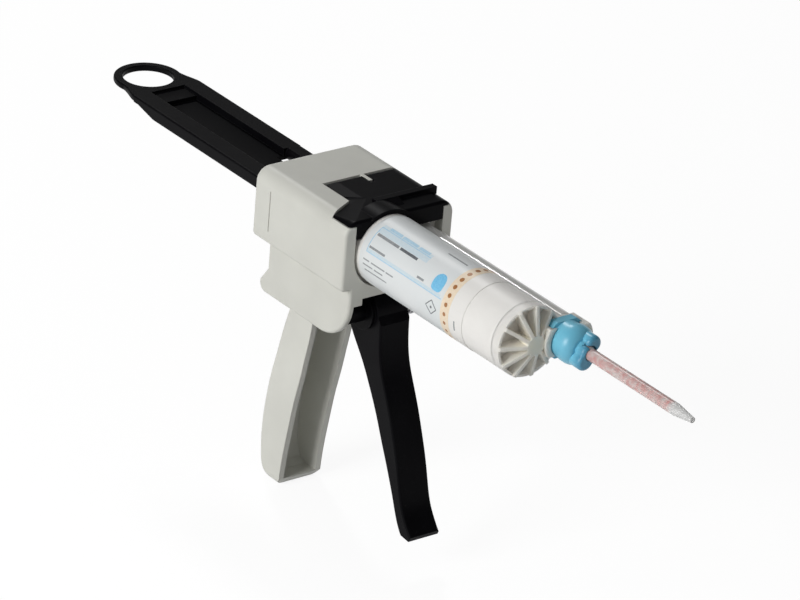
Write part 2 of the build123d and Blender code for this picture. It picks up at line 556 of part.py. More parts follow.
# Cartridge: big barrel with the flange, small clear barrel, end cap with ribs and outlet
FLANGE_X0 = SLOT_X0 + 0.1
FLANGE_X1 = SLOT_X1 - 0.1
FLANGE_TOP = 86.3
with BuildPart() as base_barrel:
    with BuildSketch(front_plane(FLANGE_X0)):
        with Locations((0, (FLANGE_TOP + SLOT_FLOOR + 0.2) / 2)):
            RectangleRounded(2 * SLOT_HALF - 0.8, FLANGE_TOP - SLOT_FLOOR - 0.2, 4.0)
    extrude(amount=FLANGE_X1 - FLANGE_X0)
    x_rod(BASE_Y, AXIS_Z, BASE_R, FLANGE_X0, BARREL_END)
    x_rod(BASE_Y, AXIS_Z, BASE_BORE, FLANGE_X0 - 1, BARREL_END + 1, Mode.SUBTRACT)
    x_rod(CAT_Y, AXIS_Z, CAT_R + SEAT, FLANGE_X0 - 1, BARREL_END + 1, Mode.SUBTRACT)
base_barrel.part.label = "base_barrel"

with BuildPart() as catalyst_barrel:
    x_rod(CAT_Y, AXIS_Z, CAT_R, FLANGE_X0, BARREL_END)
    x_rod(CAT_Y, AXIS_Z, CAT_BORE, FLANGE_X0 - 1, BARREL_END + 1, Mode.SUBTRACT)
catalyst_barrel.part.label = "catalyst_barrel"

CAP_X = BARREL_END + 1.4
RIB_X = BARREL_END + RIB_DEPTH
RIBS = 11
RIB_THICK = 1.5
HUB_X = RIB_X + 4.4
HUB_R = 4.1
PRONG_IN = 9.1
PRONG_OUT = 10.3
COLLAR_X = RIB_X + 0.6
FLANGE_LEN = 3.8
HOOK_X = COLLAR_X + FLANGE_LEN + GAP
PRONG_X = HOOK_X + 3.0
NEAR_PRONG_X = HOOK_X + 0.9
# Room that the ribs fill: round like the barrel, then narrowing to the hub
with BuildPart() as rib_room:
    x_rod(BASE_Y, AXIS_Z, BASE_R, CAP_X - 0.2, RIB_X + 0.9)
    for x, r in ((RIB_X + 0.9, BASE_R), (HUB_X, HUB_R)):
        with BuildSketch(front_plane(x)):
            with Locations((BASE_Y, AXIS_Z)):
                Circle(r)
    loft()

with BuildPart() as nose_ribs:
    with BuildSketch(front_plane(CAP_X - 0.2)):
        for i in range(RIBS):
            turn = 180 + 360 / RIBS * i
            a = math.radians(turn)
            with Locations(Location((BASE_Y + BASE_R / 2 * math.cos(a),
                                     AXIS_Z + BASE_R / 2 * math.sin(a)), turn)):
                Rectangle(BASE_R + 1, RIB_THICK)
        with Locations((BASE_Y, AXIS_Z)):
            Circle(HUB_R)
    extrude(amount=HUB_X - CAP_X + 0.2)
    add(rib_room.part, mode=Mode.INTERSECT)

with BuildPart() as outlet_nose:
    x_rod(BASE_Y, AXIS_Z, BASE_R, BARREL_END, RIB_X)
    x_rod(BASE_Y, AXIS_Z, BASE_R - 1.1, CAP_X, RIB_X + 1, Mode.SUBTRACT)
    add(nose_ribs.part)
    x_rod(CAT_Y, AXIS_Z, CAT_R, BARREL_END, RIB_X - 0.6)
    # bridge over the line where the two round plates only touch, and up to the hub
    mid_box(BARREL_END, CAP_X, CAT_Y - CAT_R - 2.4, CAT_Y - CAT_R + 2.4, AXIS_Z - 2.6, AXIS_Z + 2.6)
    mid_box(CAP_X - 0.2, RIB_X - 0.2, BASE_Y, CAT_Y, AXIS_Z - 3.8, AXIS_Z + 3.8)
    x_rod(MIX_Y, AXIS_Z, 6.4, CAP_X, RIB_X + 0.3)
    x_rod(MIX_Y, AXIS_Z, 3.4, RIB_X, COLLAR_X + 2.4)
    # bayonet prongs, one on each side of the outlet
    with BuildSketch(front_plane(RIB_X - 2.6)):
        with Locations((MIX_Y, AXIS_Z)):
            Circle(PRONG_OUT)
            Rectangle(3 * PRONG_OUT, 11.6, mode=Mode.INTERSECT)
    extrude(amount=PRONG_X - RIB_X + 2.6)
    x_rod(MIX_Y, AXIS_Z, PRONG_IN, RIB_X + 0.3, HOOK_X, Mode.SUBTRACT)
    x_rod(MIX_Y, AXIS_Z, 7.9, HOOK_X - 1, PRONG_X + 1, Mode.SUBTRACT)
    mid_box(NEAR_PRONG_X, PRONG_X + 1, MIX_Y - PRONG_OUT - 1, MIX_Y - 5, AXIS_Z - 7, AXIS_Z + 7,
            Mode.SUBTRACT)
    x_rod(MIX_Y, AXIS_Z, 3.4, RIB_X, COLLAR_X + 2.4)
    # outlet channels
    x_rod(MIX_Y + 1.5, AXIS_Z, 0.7, CAP_X - 0.4, COLLAR_X + 4, Mode.SUBTRACT)
    x_rod(MIX_Y - 1.0, AXIS_Z, 1.2, CAP_X + 1.0, COLLAR_X + 4, Mode.SUBTRACT)
outlet_nose.part.label = "outlet_nose"

PISTON_X = SLOT_X0 + 0.05
with BuildPart() as base_piston:
    x_rod(BASE_Y, AXIS_Z, BASE_BORE - 0.1, PISTON_X, PISTON_X + 8.4)
    chamfer(base_piston.edges().group_by(Axis.X)[-1], 1.2)
    x_rod(BASE_Y, AXIS_Z, BASE_BORE - 0.8, PISTON_X + 3.4, PISTON_X + 5.0, Mode.SUBTRACT)
    x_rod(BASE_Y, AXIS_Z, BASE_BORE - 1.6, PISTON_X + 3.3, PISTON_X + 5.1)
    x_rod(BASE_Y, AXIS_Z, BASE_BORE - 3.0, PISTON_X - 1, PISTON_X + 2.0, Mode.SUBTRACT)
base_piston.part.label = "base_piston"

with BuildPart() as catalyst_piston:
    x_rod(CAT_Y, AXIS_Z, CAT_BORE - 0.1, PISTON_X, PISTON_X + 6.0)
    chamfer(catalyst_piston.edges().group_by(Axis.X)[-1], 0.6)
    x_rod(CAT_Y, AXIS_Z, CAT_BORE - 1.1, PISTON_X - 1, PISTON_X + 1.6, Mode.SUBTRACT)
catalyst_piston.part.label = "catalyst_piston"

# Paper label, wrapped round the big barrel except beside the small one
LABEL_X0 = FRONT_X + 1.5
LABEL_X1 = 119.0
with BuildPart() as cartridge_label:
    x_rod(BASE_Y, AXIS_Z, BASE_R + LABEL_GAP + LABEL_THICK, LABEL_X0, LABEL_X1)
    x_rod(BASE_Y, AXIS_Z, BASE_R + LABEL_GAP, LABEL_X0 - 1, LABEL_X1 + 1, Mode.SUBTRACT)
    mid_box(LABEL_X0 - 1, LABEL_X1 + 1, BASE_Y + BASE_R - 4.3, BASE_Y + BASE_R + 5, AXIS_Z - PAST,
            AXIS_Z + PAST, Mode.SUBTRACT)
cartridge_label.part.label = "cartridge_label"

# Mixer: collar with a bayonet flange and two grip lobes, clear tube, mixing element
TUBE_R = 2.45
TUBE_BORE = 1.85
ROOT_R = 3.0
ROOT_LEN = 2.5
GRIP_X0 = PRONG_X + 0.6
GRIP_X1 = 158.8
LOBE_X1 = GRIP_X1 + 1.8
LOBE_OFF = 3.85
LOBE_R = 3.3
LOBE_TILT = 54.0
TUBE_END = 211.5
TIP_END = 221.0
TIP_R = 1.15
with BuildPart() as mixer_collar:
    with BuildSketch(front_plane(COLLAR_X)):
        with Locations((MIX_Y, AXIS_Z)):
            Circle(PRONG_IN - GAP)
            Rectangle(3 * PRONG_IN, 15.0, mode=Mode.INTERSECT)
    extrude(amount=FLANGE_LEN)
    x_rod(MIX_Y, AXIS_Z, 7.5, COLLAR_X, GRIP_X0)
    x_rod(MIX_Y, AXIS_Z, 8.0, GRIP_X0, GRIP_X0 + 3.4)
    fillet(mixer_collar.edges().group_by(Axis.X)[-1], 2.0)
    # two round lobes reach past the web that joins them
    tilt = math.radians(LOBE_TILT)
    for s in (-1, 1):
        x_rod(MIX_Y + s * LOBE_OFF * math.cos(tilt), AXIS_Z + s * LOBE_OFF * math.sin(tilt), LOBE_R,
              GRIP_X0, LOBE_X1)
    fillet(mixer_collar.edges().group_by(Axis.X)[-1], 1.6)
    with BuildSketch(front_plane(GRIP_X0)):
        with Locations(Location((MIX_Y, AXIS_Z), LOBE_TILT)):
            SlotCenterToCenter(2 * LOBE_OFF, 2 * LOBE_R - 0.3)
        with Locations((MIX_Y, AXIS_Z)):
            Circle(ROOT_R + 1.1)
    extrude(amount=GRIP_X1 - GRIP_X0)
    x_rod(MIX_Y, AXIS_Z, 3.4 + GAP, COLLAR_X - 1, COLLAR_X + 2.4 + GAP, Mode.SUBTRACT)
    x_rod(MIX_Y, AXIS_Z, ROOT_R + SEAT, COLLAR_X + 1, GRIP_X1 + 1, Mode.SUBTRACT)
    x_rod(MIX_Y, AXIS_Z, ROOT_R + GAP, GRIP_X1, LOBE_X1 + 1, Mode.SUBTRACT)
mixer_collar.part.label = "mixer_collar"

with BuildPart() as mixer_tube:
    x_rod(MIX_Y, AXIS_Z, ROOT_R, COLLAR_X + 2.4 + GAP, GRIP_X1)
    x_rod(MIX_Y, AXIS_Z, TUBE_R, GRIP_X1 - 1, TUBE_END)
    # the tube widens towards its root in the collar, and its tip narrows
    for x0, r0, x1, r1 in ((GRIP_X1, ROOT_R, GRIP_X1 + ROOT_LEN, TUBE_R),
                           (TUBE_END, TUBE_R, TIP_END, TIP_R)):
        for x, r in ((x0, r0), (x1, r1)):
            with BuildSketch(front_plane(x)):
                with Locations((MIX_Y, AXIS_Z)):
                    Circle(r)
        loft()
    x_rod(MIX_Y, AXIS_Z, TUBE_BORE, COLLAR_X, TUBE_END, Mode.SUBTRACT)
    x_rod(MIX_Y, AXIS_Z, 0.7, TUBE_END - 1, TIP_END + 1, Mode.SUBTRACT)
mixer_tube.part.label = "mixer_tube"

TURNS = 10
ELEMENT_LEN = (TUBE_END - 0.6 - (COLLAR_X + 5)) / TURNS
with BuildPart() as mixing_element:
    x_rod(MIX_Y, AXIS_Z, 0.55, COLLAR_X + 5, COLLAR_X + 5 + TURNS * ELEMENT_LEN)
    for n in range(TURNS):
        start = COLLAR_X + 5 + n * ELEMENT_LEN
        hand = 1 if n % 2 == 0 else -1
        for k in range(5):
            with BuildSketch(front_plane(start + ELEMENT_LEN * k / 4)):
                with Locations(Location((MIX_Y, AXIS_Z), 90 * n + hand * 45 * k)):
                    Rectangle(2 * TUBE_BORE - 0.1, 0.7)
        loft()
mixing_element.part.label = "mixing_element"

# Pin of the lock hinge and the lock itself
with BuildPart() as lock_pin:
    y_rod(LOCK_X, LOCK_Z, LOCK_PIN_R, LOCK_NEAR - 3.5, TONGUE_Y + 6)
lock_pin.part.label = "lock_pin"

RIDGE_X = 39.8
RIDGE_TOP = 91.4
SKIRT_Z = 82.3
LOCK_LOW = TOP_Z - 9
WING_FOLD = (FRONT_X - 1.4, 0.6 - ARM_IN)
FOLD_X = 14.8
FOLD_Y = 15.5
with BuildPart() as cartridge_lock:
    mid_box(LOCK_X - LOCK_R, FRONT_X, -HALF_W, HALF_W, LOCK_LOW, TOP_Z)
    fillet(cartridge_lock.edges().filter_by(Axis.X).group_by(Axis.Z)[-1], TOP_ROUND)
    lock_front = cartridge_lock.faces().sort_by(Axis.X)[-1].edges().sort_by(Axis.Z)[1:]
    fillet(lock_front, EDGE_ROUND)
    mid_box(LOCK_X - 9, FRONT_X + 1, -PAST, PAST, LOCK_LOW - 1, TOP_Z - LOCK_THICK, Mode.SUBTRACT)
    for s in (-1, 1):
        for x, y in ((LOCK_X - 9, EDGE_Y), (SLOT_X1 - GAP, ARM_IN - GAP)):
            y0, y1 = sorted((s * y, s * PAST))
            mid_box(x, FRONT_X + 1, y0, y1, LOCK_LOW - 1, WING_Z, Mode.SUBTRACT)
    # behind the swept near wing the plate ends at its near edge
    with BuildSketch(Plane(origin=(0, 0, LOCK_LOW - 1))):
        with BuildLine():
            Polyline((LOCK_X - 9, LOCK_NEAR), (wing_rear(LOCK_NEAR), LOCK_NEAR),
                     (wing_rear(-PAST), -PAST), (LOCK_X - 9, -PAST), (LOCK_X - 9, LOCK_NEAR))
        make_face()
    extrude(amount=TOP_Z + 2 - LOCK_LOW, mode=Mode.SUBTRACT)
    # the wing's top slopes away from a line that runs from the plate to its front corner
    with BuildSketch(Plane(origin=(*WING_FOLD, TOP_Z), x_dir=(-FOLD_Y, -FOLD_X, 0),
                           z_dir=(-FOLD_X, FOLD_Y, 0))):
        with BuildLine():
            Polyline((0, 0), (12, -1.4), (12, 3), (0, 3), (0, 0))
        make_face()
    extrude(amount=math.hypot(FOLD_X, FOLD_Y), mode=Mode.SUBTRACT)
    y_rod(LOCK_X, LOCK_Z, LOCK_R, LOCK_NEAR, TONGUE_Y + 7)
    # the rear edge is round about the hinge, so that the lock can swing up
    with BuildSketch(side_plane(PAST)):
        with Locations((LOCK_X - 3, LOCK_Z)):
            Rectangle(6, 12)
        with Locations((LOCK_X, LOCK_Z)):
            Circle(LOCK_R, mode=Mode.SUBTRACT)
    extrude(amount=2 * PAST, mode=Mode.SUBTRACT)
    # skirt between the arms, and a raised arch over the big barrel
    with BuildSketch(front_plane(SLOT_X1 + 0.4)):
        with Locations((0, (SKIRT_Z + TOP_Z - 1) / 2)):
            Rectangle(2 * ARM_IN - 0.6, TOP_Z - 1 - SKIRT_Z)
    extrude(amount=FRONT_X - SLOT_X1 - 0.4)
    with BuildSketch(front_plane(SLOT_X0 - GAP)):
        with Locations((BASE_Y, AXIS_Z)):
            Circle(BASE_R + 2.1)
        with Locations((BASE_Y, TOP_Z + 4)):
            Rectangle(40, 10, mode=Mode.INTERSECT)
    extrude(amount=FRONT_X - SLOT_X0 + GAP)
    # finger ridge across the plate, with a sloped rest at its near end
    mid_box(RIDGE_X, RIDGE_X + 3.0, -4.8, HALF_W - 1.6, TOP_Z - 1.5, RIDGE_TOP)
    with BuildSketch(side_plane(5.5)):
        with BuildLine():
            Polyline((RIDGE_X + 2.5, TOP_Z - 1), (RIDGE_X + 7.6, TOP_Z - 1), (RIDGE_X + 7.6, TOP_Z),
                     (RIDGE_X + 2.9, RIDGE_TOP - 0.2), (RIDGE_X + 2.5, TOP_Z - 1))
        make_face()
    extrude(amount=10.3)
    # low edge strip beside the housing
    with BuildSketch(front_plane(LOCK_X - 9)):
        with BuildLine():
            Polyline((LOCK_NEAR - 1, TOP_Z + 1), (LOCK_NEAR - 1, TOP_Z - 1.0), (LOCK_NEAR + 6, TOP_Z),
                     (LOCK_NEAR + 6, TOP_Z + 1), (LOCK_NEAR - 1, TOP_Z + 1))
        make_face()
    extrude(amount=WING_X - LOCK_X + 9, mode=Mode.SUBTRACT)
    mid_box(LOCK_X - 6, LOCK_X + TONGUE_LEN + 1.2, TONGUE_Y - TONGUE_W / 2 - GAP,
            TONGUE_Y + TONGUE_W / 2 + GAP, LOCK_LOW, TOP_Z + 1, Mode.SUBTRACT)
    y_rod(LOCK_X, LOCK_Z, LOCK_PIN_R + RUN, -20, TONGUE_Y + 6.2, Mode.SUBTRACT)
    x_rod(BASE_Y, AXIS_Z, BASE_R + SLIDE, SLOT_X0 - 2 * GAP, FRONT_X + 1, Mode.SUBTRACT)
cartridge_lock.part.label = "cartridge_lock"

for piece in (housing, handle, handle_screws, trigger, trigger_pin, trigger_spring, drive_carriage,
              carriage_pin, drive_pawl, pawl_pin, pawl_spring, release_lever, release_pin,
              release_spring, pusher, base_plunger, catalyst_plunger, base_barrel, catalyst_barrel,
              outlet_nose, base_piston, catalyst_piston, cartridge_label, mixer_collar, mixer_tube,
              mixing_element, lock_pin, cartridge_lock):
    export_step(piece.part, f"parts/{piece.part.label}.step")
    print(piece.part.label, round(piece.part.volume, 1), len(piece.part.solids()), "solids")
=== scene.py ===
"""Looks of a hand-held dental dispensing tool with its cartridge and static mixer."""
import math

import bmesh
import bpy
from mathutils import Matrix, Vector


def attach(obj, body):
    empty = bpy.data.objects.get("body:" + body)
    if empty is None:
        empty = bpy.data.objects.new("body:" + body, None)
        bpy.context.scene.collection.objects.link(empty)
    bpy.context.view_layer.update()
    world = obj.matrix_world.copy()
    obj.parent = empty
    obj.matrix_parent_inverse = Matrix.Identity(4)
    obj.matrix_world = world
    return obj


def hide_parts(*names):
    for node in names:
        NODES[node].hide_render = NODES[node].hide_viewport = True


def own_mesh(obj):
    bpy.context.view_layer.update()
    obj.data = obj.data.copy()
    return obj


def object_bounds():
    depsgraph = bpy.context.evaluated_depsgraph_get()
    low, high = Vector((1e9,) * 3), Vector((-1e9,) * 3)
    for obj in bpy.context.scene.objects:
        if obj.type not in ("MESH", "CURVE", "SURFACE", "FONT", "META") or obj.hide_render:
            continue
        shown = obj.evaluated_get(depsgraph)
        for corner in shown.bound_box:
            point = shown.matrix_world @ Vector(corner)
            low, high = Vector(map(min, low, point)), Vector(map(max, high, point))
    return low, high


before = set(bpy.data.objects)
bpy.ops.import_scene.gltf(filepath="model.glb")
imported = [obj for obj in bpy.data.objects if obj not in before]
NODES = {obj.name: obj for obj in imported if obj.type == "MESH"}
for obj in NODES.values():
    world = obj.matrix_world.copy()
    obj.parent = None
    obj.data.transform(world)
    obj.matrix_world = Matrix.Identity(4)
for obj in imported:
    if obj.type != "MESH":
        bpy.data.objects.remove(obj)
CAD_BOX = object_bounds()
MM = 0.001
WHITE = (1, 1, 1, 1)

# Camera: placed where the photograph was taken from, in metres, its lens in millimetres
CAM_PLACE = (1.4968, -1.1508, 0.9472)
CAM_RIGHT = (0.5932, 0.8015, 0.0759)
CAM_DOWN = (0.3922, -0.2053, -0.8967)
CAM_AHEAD = (-0.7031, 0.5617, -0.4361)
CAM_LENS = 238.7
CAM_SENSOR = 36.0
CAM_NEAR = 0.05
CAM_FAR = 50.0

# Lamps: places and sizes in metres, power in watts
KEY_PLACE = (0.08, -1.35, 0.60)
KEY_SIZE = 0.8
KEY_POWER = 13.6
TOP_PLACE = (-1.04, 0.44, 1.13)
TOP_SIZE = 0.2
TOP_POWER = 4.4

# World: its light, how bright it looks overhead, and the heights between which it fades
WORLD_LIGHT = 0.24
SKY_OVERHEAD = 0.08
FADE_START = 0.08
FADE_END = 0.28

# Floor: half its side and its gap under the object in metres, its grey and its glow to the eye
FLOOR_HALF = 4.0
FLOOR_GAP = 0.2 * MM
FLOOR_GREY = 0.68
FLOOR_GLOW = 1.22
FLOOR_GLOW_SHARE = 0.72

# Moulded edges: radii, and the cosine of the normal's turn where an edge starts and ends
EDGE_RADIUS = 0.3 * MM
GRIP_EDGE_RADIUS = 0.9 * MM
PAPER_EDGE_RADIUS = 0.1 * MM
EDGE_SAMPLES = 6
EDGE_START = 0.995
EDGE_END = 0.85

# Surfaces: noise in waves a metre, how far the roughness drifts, and how patchy the lighter
# edges are, which are partly wear and partly painted highlight
GRAIN = 2600
GRAIN_DEPTH = 0.2 * MM
PAPER_GRAIN = 1800
CLOUD = 45
MOULDED_DRIFT = 0.05
WEAR_AND_HIGHLIGHT_PATCHES = 240
WEAR_AND_HIGHLIGHT_LEAST = 0.1
WEAR_AND_HIGHLIGHT_MOST = 0.9
FLOW = 60
FLOW_DRIFT = 0.06
TUBE_FLOW = 420
STEEL_LINES = 1400
STEEL_DRIFT = 0.12
INK_COVER = 1500
INK_ROUGH_LOW = 0.38
INK_ROUGH_HIGH = 0.5
PLASTIC_IOR = 1.49

# Places along the barrels, in millimetres, between which a colour turns into another
PAPER_TO_WHITE = (109.6, 111.2)
NOSE_TO_OUTLET = (140.4, 142.4)
# along the collar the blue turns darker towards the lobes: painted shade
COLLAR_TO_SHADED_LOBES = (157.2, 160.2)
TUBE_TO_TIP = (208.5, 210.5)

# Big barrel and its label, in millimetres; a print sinks a little in and stands INK above it
BARREL_Y = -5.2
BARREL_Z = 75.0
LABEL_R = 14.65
INK = 0.035
INK_SINK = 0.01
PRINT_LOW = LABEL_R - INK_SINK
PRINT_HIGH = LABEL_R + INK

# Longest steps of a print round the barrel and of a slanting one, in degrees
HOOP_STEP = 3
SLANT_STEP = 2

# Ruled frame of the label: places in millimetres along it, angles in degrees above the near side
RULE_X = 57.2
RULE_WIDTH = 0.4
RULE_LOW = 18.0
RULE_LOW_END = 104.6
RULE_HIGH = 62.0
RULE_HIGH_END = 88.0
RULE_CORNER = 0.6

# Pale panels: one behind the title's bars, one that stands on the frame's lower line
TITLE_PANEL_LOW = 51.6
TITLE_PANEL_HIGH = 68.0
FOOT_PANEL_END = 103.6
FOOT_PANEL_HIGH = 23.5

# Bars in place of words on the near side: spans along the label, angles and widths
TITLE_SPANS = ((61.0, 68.4), (69.2, 78.6), (79.6, 86.0))
TITLE_ANGLE = 66.5
TITLE_WIDTH = 1.3
HEADING_GREY_SPAN = (58.0, 71.5)
HEADING_DARK_SPAN = (72.4, 83.2)
HEADING_ANGLE = 48.8
HEADING_WIDTH = 1.15
FOOT_BARS = ((57.8, 67.6, 26.4), (88.0, 92.2, 27.4))
FOOT_WIDTH = 0.9
TEXT_ROWS = (((56.4, 60.2), (61.4, 70.0), (70.8, 75.4)),
             ((56.4, 62.5), (63.5, 69.0)),
             ((57.5, 71.4),))
TEXT_ANGLE = 5.0
TEXT_PITCH = 8.2
TEXT_WIDTH = 0.55
UPPER_SPAN = (90.4, 102.4)
UPPER_ANGLE = 87.5
UPPER_WIDTH = 0.7

# Far side: a few lines, and rows of small print whose spaces and ends are uneven
FAR_LINES = 4
FAR_LINE_SPAN = (60.0, 96.0)
FAR_LINE_SHORTER = 6.0
FAR_LINE_ANGLE = 176.0
FAR_LINE_PITCH = 9.0
FAR_LINE_WIDTH = 0.5
FAR_TEXT_ROWS = 7
FAR_TEXT_ANGLE = 222.0
FAR_TEXT_X = 58.0
FAR_TEXT_GAP = 72.0
FAR_TEXT_SPACE = 1.0
FAR_TEXT_MIDDLE = 86.0
FAR_TEXT_END = 100.0
FAR_TEXT_SHORTER = 4

# Marks of the label: a blue patch, a diamond with a dot in it, and a short stroke
PATCH_X = 99.8
PATCH_ANGLE = 38.0
PATCH_HALF_X = 3.2
PATCH_HALF_ROUND = 3.7
DIAMOND_X = PATCH_X
DIAMOND_HALF_X = 3.2
DIAMOND_ANGLE = -2.5
DIAMOND_HALF_ANGLE = 11.5
DIAMOND_DOT = 0.55
STROKE_SPAN = (114.0, 114.7)
STROKE_LOW = -17.0
STROKE_HIGH = -1.0

# Tan band and its dots, which are largest where the band faces up
BAND_X0 = 105.5
BAND_X1 = 110.7
BAND_ANGLE = 128.0
DOT_X = (BAND_X0 + BAND_X1) / 2
DOT_COUNT = 17
DOT_FIRST = -120.0
DOT_PITCH = 15.0
DOT_SIZE = 0.78
DOT_GROWTH = 0.26
DOT_LARGEST_AT = 80.0

# Mixer's axis, and the collar's lower grip lobe, in millimetres and degrees
MIX_Y = 8.8
LOBE_OFF = 3.85
LOBE_R = 3.32
LOBE_ANGLE = 234.0

# Collar's round shoulder, from its ring to its lobes
DOME_X0 = 151.3
DOME_X1 = 156.6
DOME_R0 = 8.02
DOME_R1 = 4.3
DOME_LAP = 0.6
DOME_LAP_R = 7.6
DOME_BORE = 3.2
DOME_STEPS = 10
DOME_SIDES = 96

# Collar's web, which joins the lower lobe to the root of the tube
WEB_X0 = 157.2
WEB_X1 = 161.5
WEB_R = 4.12
WEB_BORE = 2.62
WEB_FIRST = 112.0
WEB_LAST = 372.0
WEB_STEPS = 60
WEB_ROUND = 1.4
WEB_ROUND_STEPS = 6
WEB_END_STEPS = 6
WEB_END_DROP = 0.9
WEB_WALL = 0.3
WEB_CHAMFER = 0.15
WEB_BLEND = 6

# Coil under the release lever: the wire's middle line and radius, and its height when pressed
COIL_X = 3.6
COIL_Z = 59.95
COIL_R = 2.3
COIL_PITCH = 1.15
COIL_TURNS = 4
COIL_STEPS = 36
COIL_WIRE = 0.3
COIL_SIDES = 12

# Swept pieces keep an edge sharp where their faces turn more than this, in degrees
SHARP_ANGLE = 35


def srgb(r, g, b):
    """Colour written as 0-255 values, turned into the linear values that a shader takes."""
    out = []
    for v in (r, g, b):
        c = v / 255
        out.append(c / 12.92 if c <= 0.04045 else ((c + 0.055) / 1.055) ** 2.4)
    return (*out, 1.0)


def add_camera():
    """The scene's camera, with the photograph's view."""
    data = bpy.data.cameras.new("photo_camera")
    data.lens = CAM_LENS
    data.sensor_width = CAM_SENSOR
    data.clip_start = CAM_NEAR
    data.clip_end = CAM_FAR
    cam = bpy.data.objects.new("photo_camera", data)
    bpy.context.scene.collection.objects.link(cam)
    right, down, ahead = Vector(CAM_RIGHT), Vector(CAM_DOWN), Vector(CAM_AHEAD)
    turn = Matrix((right, -down, -ahead)).transposed()
    cam.matrix_world = Matrix.Translation(CAM_PLACE) @ turn.to_4x4()
    bpy.context.scene.camera = cam


def add_lamp(name, place, size, power, aim):
    """A round soft lamp that faces a point."""
    data = bpy.data.lights.new(name, "AREA")
    data.shape = "DISK"
    data.size = size
    data.energy = power
    lamp = bpy.data.objects.new(name, data)
    bpy.context.scene.collection.objects.link(lamp)
    lamp.location = place
    lamp.rotation_mode = "QUATERNION"
    lamp.rotation_quaternion = (Vector(aim) - Vector(place)).to_track_quat("-Z", "Y")


def seen_ray(nodes, links):
    """A factor that is 1 for camera, mirror and see-through rays and 0 for the rest."""
    path = nodes.new("ShaderNodeLightPath")
    last = path.outputs["Is Camera Ray"]
    for kind in ("Is Transmission Ray", "Is Glossy Ray"):
        node = nodes.new("ShaderNodeMath")
        node.operation = "MAXIMUM"
        links.new(last, node.inputs[0])
        links.new(path.outputs[kind], node.inputs[1])
        last = node.outputs[0]
    return last


def mixed(nodes, links, factor, a, b):
    """One shader's output mixed into another's by a factor."""
    mix = nodes.new("ShaderNodeMixShader")
    for source, socket in zip((factor, a, b), mix.inputs):
        links.new(source, socket)
    return mix.outputs[0]


def add_world():
    """Even light all round. What is seen is white near the horizon and dim overhead."""
    world = bpy.data.worlds.new("studio")
    bpy.context.scene.world = world
    world.use_nodes = True
    nodes, links = world.node_tree.nodes, world.node_tree.links
    nodes.clear()
    seen = seen_ray(nodes, links)
    light = nodes.new("ShaderNodeBackground")
    light.inputs["Color"].default_value = WHITE
    light.inputs["Strength"].default_value = WORLD_LIGHT
    coord = nodes.new("ShaderNodeTexCoord")
    parts = nodes.new("ShaderNodeSeparateXYZ")
    links.new(coord.outputs["Generated"], parts.inputs[0])
    fade = nodes.new("ShaderNodeMapRange")
    fade.interpolation_type = "SMOOTHSTEP"
    fade.inputs["From Min"].default_value = FADE_START
    fade.inputs["From Max"].default_value = FADE_END
    fade.inputs["To Min"].default_value = 1.0
    fade.inputs["To Max"].default_value = SKY_OVERHEAD
    links.new(parts.outputs["Z"], fade.inputs["Value"])
    white = nodes.new("ShaderNodeBackground")
    white.inputs["Color"].default_value = WHITE
    links.new(fade.outputs[0], white.inputs["Strength"])
    surface = mixed(nodes, links, seen, light.outputs[0], white.outputs[0])
    out = nodes.new("ShaderNodeOutputWorld")
    links.new(surface, out.inputs[0])


def floor_material():
    """A matt grey that also glows to the eye, so that it shows near white with its shadow."""
    mat = bpy.data.materials.new("pale_floor")
    mat.use_nodes = True
    nodes, links = mat.node_tree.nodes, mat.node_tree.links
    nodes.clear()
    share = nodes.new("ShaderNodeMath")
    share.operation = "MULTIPLY"
    share.inputs[1].default_value = FLOOR_GLOW_SHARE
    links.new(seen_ray(nodes, links), share.inputs[0])
    matt = nodes.new("ShaderNodeBsdfDiffuse")
    matt.inputs["Color"].default_value = (FLOOR_GREY, FLOOR_GREY, FLOOR_GREY, 1)
    glow = nodes.new("ShaderNodeEmission")
    glow.inputs["Strength"].default_value = FLOOR_GLOW
    surface = mixed(nodes, links, share.outputs[0], matt.outputs[0], glow.outputs[0])
    out = nodes.new("ShaderNodeOutputMaterial")
    links.new(surface, out.inputs[0])
    return mat


def add_floor(low, centre):
    """A pale square floor under the lowest point."""
    mesh = bpy.data.meshes.new("floor")
    bm = bmesh.new()
    corners = [bm.verts.new((centre.x + x * FLOOR_HALF, centre.y + y * FLOOR_HALF, low))
               for x, y in ((-1, -1), (1, -1), (1, 1), (-1, 1))]
    bm.faces.new(corners)
    bm.to_mesh(mesh)
    bm.free()
    mesh.materials.append(floor_material())
    floor = bpy.data.objects.new("floor", mesh)
    bpy.context.scene.collection.objects.link(floor)


def material(name):
    """A new material with one shader, and that shader."""
    mat = bpy.data.materials.new(name)
    mat.use_nodes = True
    nodes = mat.node_tree.nodes
    nodes.clear()
    shader = nodes.new("ShaderNodeBsdfPrincipled")
    out = nodes.new("ShaderNodeOutputMaterial")
    mat.node_tree.links.new(shader.outputs[0], out.inputs[0])
    return mat, shader


def noise(mat, scale, detail=3.0, stretch=(1, 1, 1)):
    """Noise in the object's own metres, so the grain keeps its real size."""
    nodes, links = mat.node_tree.nodes, mat.node_tree.links
    coord = nodes.new("ShaderNodeTexCoord")
    mapping = nodes.new("ShaderNodeMapping")
    mapping.inputs["Scale"].default_value = stretch
    links.new(coord.outputs["Object"], mapping.inputs["Vector"])
    tex = nodes.new("ShaderNodeTexNoise")
    tex.inputs["Scale"].default_value = scale
    tex.inputs["Detail"].default_value = detail
    links.new(mapping.outputs[0], tex.inputs["Vector"])
    return tex.outputs["Fac"]


def ramp(mat, fac, a, b, low=0.3, high=0.7):
    """A colour that goes from a to b while the factor goes from low to high."""
    node = mat.node_tree.nodes.new("ShaderNodeValToRGB")
    node.color_ramp.elements[0].position = low
    node.color_ramp.elements[0].color = a
    node.color_ramp.elements[1].position = high
    node.color_ramp.elements[1].color = b
    mat.node_tree.links.new(fac, node.inputs[0])
    return node.outputs[0]


